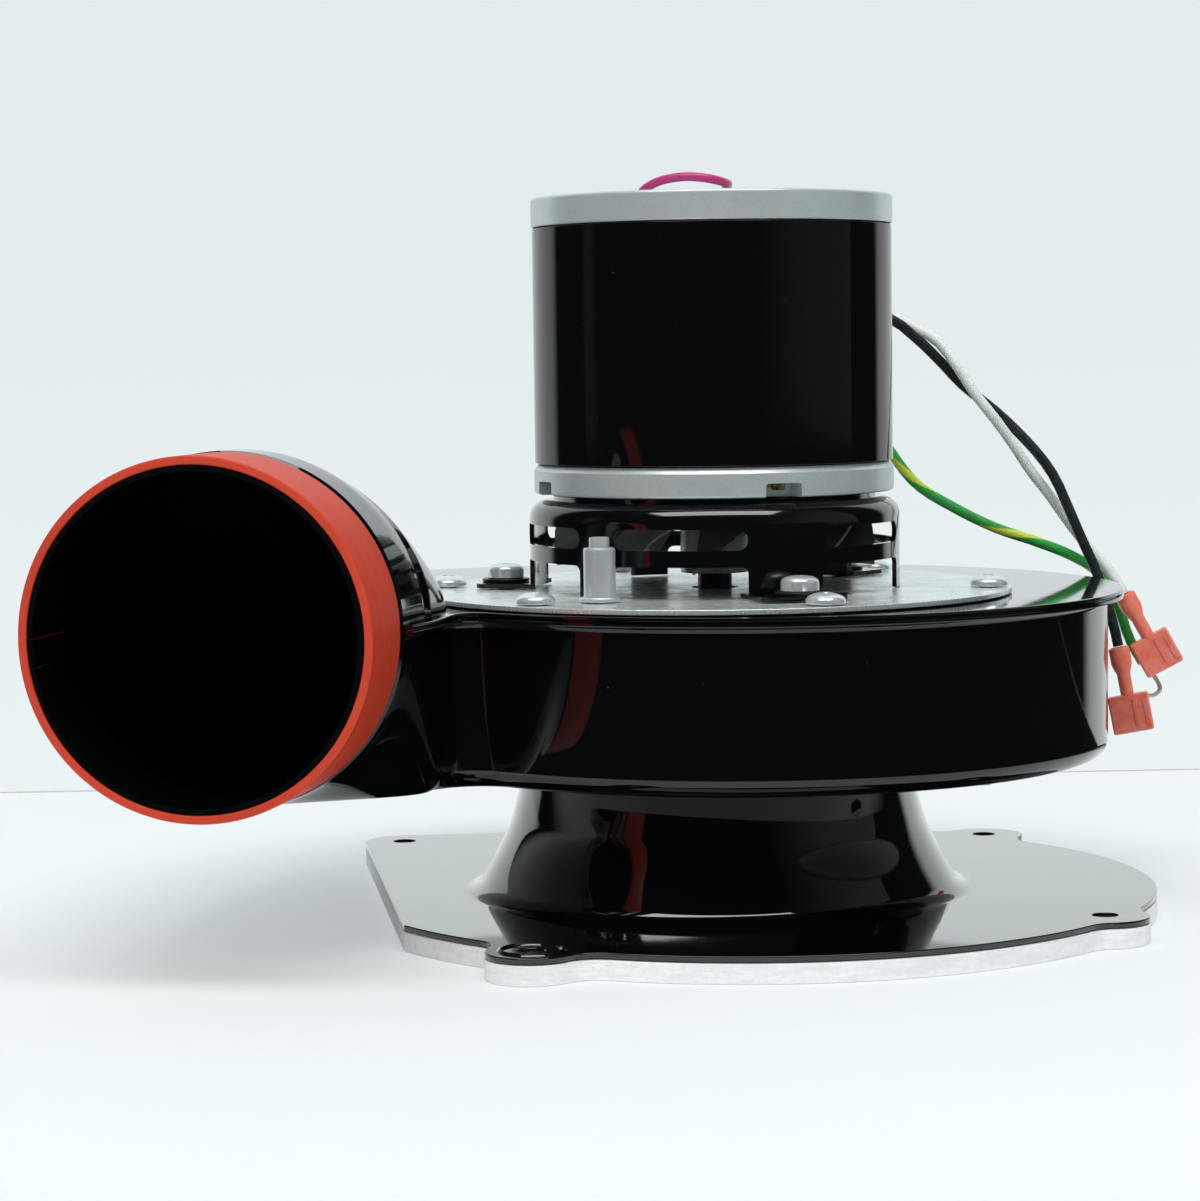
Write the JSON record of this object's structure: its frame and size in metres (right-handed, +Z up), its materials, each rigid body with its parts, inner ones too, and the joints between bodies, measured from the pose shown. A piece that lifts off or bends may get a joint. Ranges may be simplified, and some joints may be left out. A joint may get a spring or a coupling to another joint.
{
  "type": "furnace draft inducer",
  "caption": "Flue-gas blower: a capped motor on a slotted bracket turns a wheel in a black scroll housing with a round side outlet.",
  "frame": {"origin": "middle of the footprint of the fixed pieces, at the underside of the base gasket", "axes": "+Z up along the motor shaft, -Y the side that the flue outlet faces, +X away from the outlet"},
  "size_m": [0.2713, 0.2154, 0.173],
  "materials": {
    "black_enamel": "gloss",
    "white_fibre": "fibrous, matt",
    "red_silicone": "satin",
    "zinc": "plated, semi-bright",
    "black_oxide": "oiled black",
    "cast_alloy": "cast, satin",
    "yellow_passivate": "passivated",
    "lamination": "plain",
    "copper": "varnished",
    "bronze": "sintered",
    "plain_sheet": "plain",
    "black_rubber": "matt",
    "insulation_black": "satin",
    "insulation_white": "satin",
    "insulation_green": "satin, with a yellow stripe",
    "insulation_magenta": "satin",
    "tinned_strand": "tinned",
    "red_nylon": "translucent"
  },
  "bodies": {
    "housing": {"base_gasket": "white_fibre", "base_plate": "black_enamel", "black_flag": "red_nylon", "black_lead": "insulation_black", "foot_screw_1": "zinc", "foot_screw_2": "zinc", "foot_screw_3": "zinc", "foot_washer_1": "black_oxide", "foot_washer_2": "black_oxide", "foot_washer_3": "black_oxide", "ground_lead": "insulation_green", "ground_strand": "tinned_strand", "jumper_lead": "insulation_magenta", "lead_grommet": "black_rubber", "lower_bearing": "bronze", "motor_bottom_cap": "cast_alloy", "motor_bracket": "black_enamel", "motor_plate": "zinc", "motor_shell": "black_enamel", "motor_top_cap": "cast_alloy", "outlet_sleeve": "red_silicone", "plate_screw_1": "zinc", "plate_screw_2": "zinc", "plate_screw_3": "zinc", "plate_screw_4": "zinc", "plate_screw_5": "zinc", "plate_screw_6": "zinc", "pressure_tap": "zinc", "scroll_cover": "black_enamel", "scroll_pan": "black_enamel", "stator_core": "lamination", "stator_winding": "copper", "through_bolt_1": "yellow_passivate", "through_bolt_2": "yellow_passivate", "through_bolt_3": "yellow_passivate", "through_bolt_4": "yellow_passivate", "upper_bearing": "bronze", "white_flag": "red_nylon", "white_lead": "insulation_white"},
    "rotor": {"rotor_shaft": "black_oxide", "rotor_core": "lamination", "cooling_fan": "plain_sheet", "impeller": "zinc", "impeller_hub": "zinc", "hub_set_screw": "black_oxide"}
  },
  "joints": [
    {"name": "rotor_spin", "type": "hinge", "parent": "housing", "child": "rotor", "pos_m": [0.02424, -0.00615, 0.1], "axis": [0, 0, 1], "continuous": true}
  ]
}
